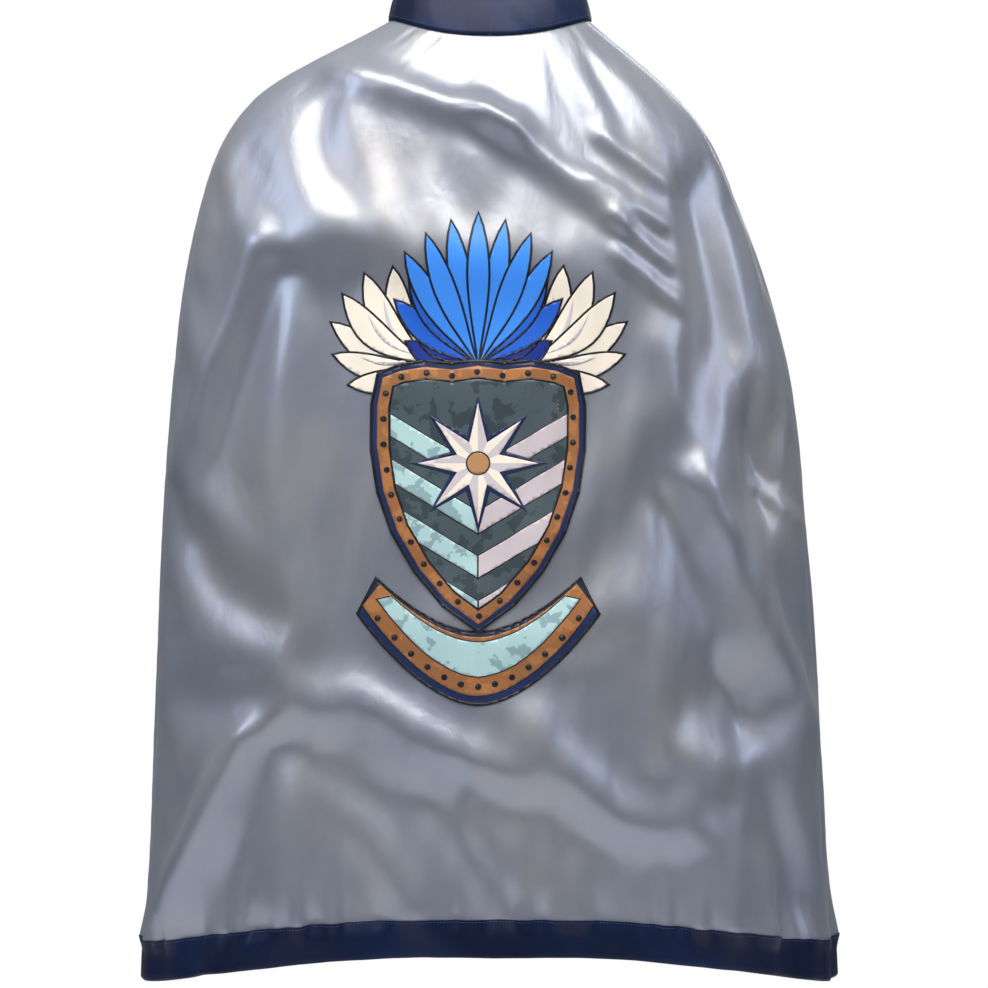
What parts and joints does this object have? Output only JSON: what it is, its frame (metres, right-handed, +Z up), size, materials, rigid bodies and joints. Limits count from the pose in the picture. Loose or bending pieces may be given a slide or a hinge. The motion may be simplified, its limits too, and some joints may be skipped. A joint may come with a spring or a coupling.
{
  "type": "superhero cape",
  "caption": "Full-length satin costume cape with a stand collar, a contrast hem band, a crest on the back and a tab closure at the neck.",
  "frame": {"origin": "middle of the wearer's neck, level with the sides of the neck seam", "axes": "+Z up along the wearer's spine, -Y the cape's back and +Y the wearer's front, +X the wearer's right"},
  "size_m": [0.7202, 0.3175, 1.0245],
  "materials": {
    "silver_satin": "glossy satin weave",
    "navy_satin": "glossy satin weave",
    "seam_tape": "matte woven tape",
    "stiffener": "matte non-woven",
    "hook_and_loop": "matte pile",
    "printed_film": "satin heat-bonded film",
    "label": "matte printed ribbon"
  },
  "bodies": {
    "cape": {"back_panel": "silver_satin", "front_panel_left": "silver_satin", "front_panel_right": "silver_satin", "hem_band_back": "navy_satin", "hem_band_front_left": "navy_satin", "hem_band_front_right": "navy_satin", "side_seam_tape_left": "seam_tape", "side_seam_tape_right": "seam_tape", "neck_tape": "seam_tape", "collar_inner": "navy_satin", "collar_interfacing": "stiffener", "collar_outer_left": "navy_satin", "collar_outer_right": "navy_satin", "loop_patch": "hook_and_loop", "emblem_transfer": "printed_film"},
    "flap_left": {"front_flap_left": "silver_satin", "front_facing_left": "silver_satin", "hem_band_flap_left": "navy_satin"},
    "flap_right": {"front_flap_right": "silver_satin", "front_facing_right": "silver_satin", "hem_band_flap_right": "navy_satin"},
    "tab": {"closure_tab": "navy_satin", "hook_patch": "hook_and_loop"},
    "label": {"care_label": "label"}
  },
  "joints": [
    {"name": "right_front_fold", "type": "hinge", "parent": "cape", "child": "flap_right", "pos_m": [0.0063, 0.1335, -0.2043], "axis": [0.3224, -0.0072, -0.9466], "range_deg": [0, 80]},
    {"name": "left_front_fold", "type": "hinge", "parent": "cape", "child": "flap_left", "pos_m": [-0.0502, 0.1335, -0.2043], "axis": [0.2706, 0.0073, 0.9627], "range_deg": [0, 80]},
    {"name": "closure_tab_peel", "type": "hinge", "parent": "cape", "child": "tab", "pos_m": [0.0228, 0.0637, -0.0176], "axis": [0.0717, 0.289, -0.9546], "range_deg": [0, 110]},
    {"name": "care_label_swing", "type": "hinge", "parent": "cape", "child": "label", "pos_m": [0, -0.06934, -0.0248], "axis": [1, 0, 0], "range_deg": [0, 75]}
  ]
}
